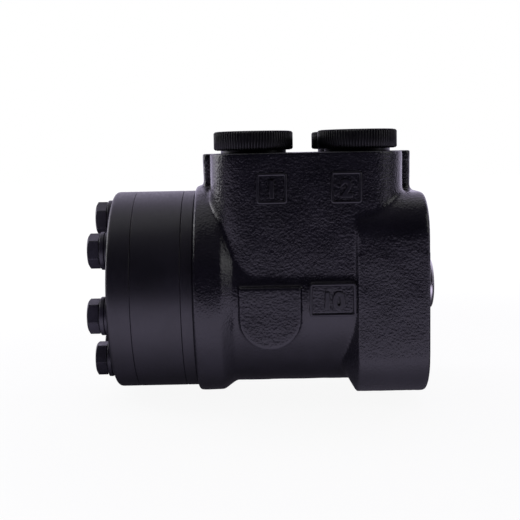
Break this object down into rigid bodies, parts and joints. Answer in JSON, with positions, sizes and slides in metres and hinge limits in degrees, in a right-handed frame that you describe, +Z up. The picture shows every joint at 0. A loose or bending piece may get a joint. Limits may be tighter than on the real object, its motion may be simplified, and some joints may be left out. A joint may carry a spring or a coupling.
{
  "type": "orbital steering unit",
  "caption": "Hydraulic steering control unit with a rotary spool valve, an orbiting gear set and capped top ports in a black cast housing.",
  "frame": {"origin": "centre of the front mounting bolt circle, where the shaft's axis meets the mounting face", "axes": "+X out of the mounting face along the steering shaft, +Z up to the port face"},
  "size_m": [0.1471, 0.0906, 0.1133],
  "materials": {
    "casting_paint": "satin black paint over sand-cast iron",
    "machined_paint": "satin black paint over turned steel",
    "bolt_black": "black painted steel",
    "gear_steel": "ground steel",
    "bright_steel": "bright ground steel",
    "spring_steel": "blued spring steel",
    "seal_rubber": "matte nitrile rubber",
    "cap_plastic": "matte black moulded plastic"
  },
  "bodies": {
    "root": {"housing": "casting_paint", "distributor_plate": "machined_paint", "gear_ring": "machined_paint", "end_cover": "machined_paint", "cover_bolts": "bolt_black", "pin_bolt": "bolt_black", "roll_pin": "bright_steel", "cover_washers": "bolt_black", "seal_washers": "bolt_black", "check_seat": "bright_steel", "bearing_outer_race": "bright_steel", "shaft_seal": "seal_rubber", "dust_seal": "seal_rubber", "housing_seal": "seal_rubber", "plate_seal": "seal_rubber", "cover_seal": "seal_rubber"},
    "sleeve": {"sleeve": "bright_steel", "cross_pin": "bright_steel", "flat_springs": "spring_steel", "bent_springs": "spring_steel", "spring_ring": "spring_steel", "bearing_inner_race": "bright_steel"},
    "spool": {"spool": "bright_steel"},
    "spacer": {"spacer": "gear_steel"},
    "gear_wheel": {"gear_wheel": "gear_steel"},
    "drive_shaft": {"drive_shaft": "gear_steel"},
    "needle_cage": {"needle_cage": "spring_steel", "needles": "bright_steel"},
    "check_ball": {"check_ball": "bright_steel"},
    "port_cap_1": {"port_cap_1": "cap_plastic"},
    "port_cap_2": {"port_cap_2": "cap_plastic"},
    "port_cap_3": {"port_cap_3": "cap_plastic"},
    "port_cap_4": {"port_cap_4": "cap_plastic"}
  },
  "joints": [
    {"name": "sleeve_spin", "type": "hinge", "parent": "root", "child": "sleeve", "pos_m": [0, 0, 0], "axis": [1, 0, 0], "continuous": true},
    {"name": "spool_turn", "type": "hinge", "parent": "sleeve", "child": "spool", "pos_m": [0, 0, 0], "axis": [1, 0, 0], "range_deg": [-8, 8], "stiffness_Nm_per_rad": 0.6},
    {"name": "spacer_orbit", "type": "hinge", "parent": "root", "child": "spacer", "pos_m": [0, 0, 0], "axis": [1, 0, 0], "continuous": true},
    {"name": "wheel_roll", "type": "hinge", "parent": "spacer", "child": "gear_wheel", "pos_m": [-0.11125, 0, 0.0032], "axis": [1, 0, 0], "continuous": true},
    {"name": "shaft_spin", "type": "hinge", "parent": "spacer", "child": "drive_shaft", "pos_m": [-0.04, 0, 0], "axis": [0.999, 0, -0.0449], "continuous": true},
    {"name": "cage_spin", "type": "hinge", "parent": "root", "child": "needle_cage", "pos_m": [0, 0, 0], "axis": [1, 0, 0], "continuous": true},
    {"name": "check_ball_lift", "type": "slide", "parent": "root", "child": "check_ball", "axis": [-1, 0, 0], "range_m": [0, 0.0014]},
    {"name": "port_cap_1_pull", "type": "slide", "parent": "root", "child": "port_cap_1", "axis": [0, 0, 1], "range_m": [0, 0.06]},
    {"name": "port_cap_2_pull", "type": "slide", "parent": "root", "child": "port_cap_2", "axis": [0, 0, 1], "range_m": [0, 0.06]},
    {"name": "port_cap_3_pull", "type": "slide", "parent": "root", "child": "port_cap_3", "axis": [0, 0, 1], "range_m": [0, 0.06]},
    {"name": "port_cap_4_pull", "type": "slide", "parent": "root", "child": "port_cap_4", "axis": [0, 0, 1], "range_m": [0, 0.06]}
  ],
  "couplings": [
    {"joint": "spacer_orbit", "follows": "sleeve_spin", "ratio": -6},
    {"joint": "wheel_roll", "follows": "sleeve_spin", "ratio": 7},
    {"joint": "shaft_spin", "follows": "sleeve_spin", "ratio": 7},
    {"joint": "cage_spin", "follows": "sleeve_spin", "ratio": 0.5}
  ]
}
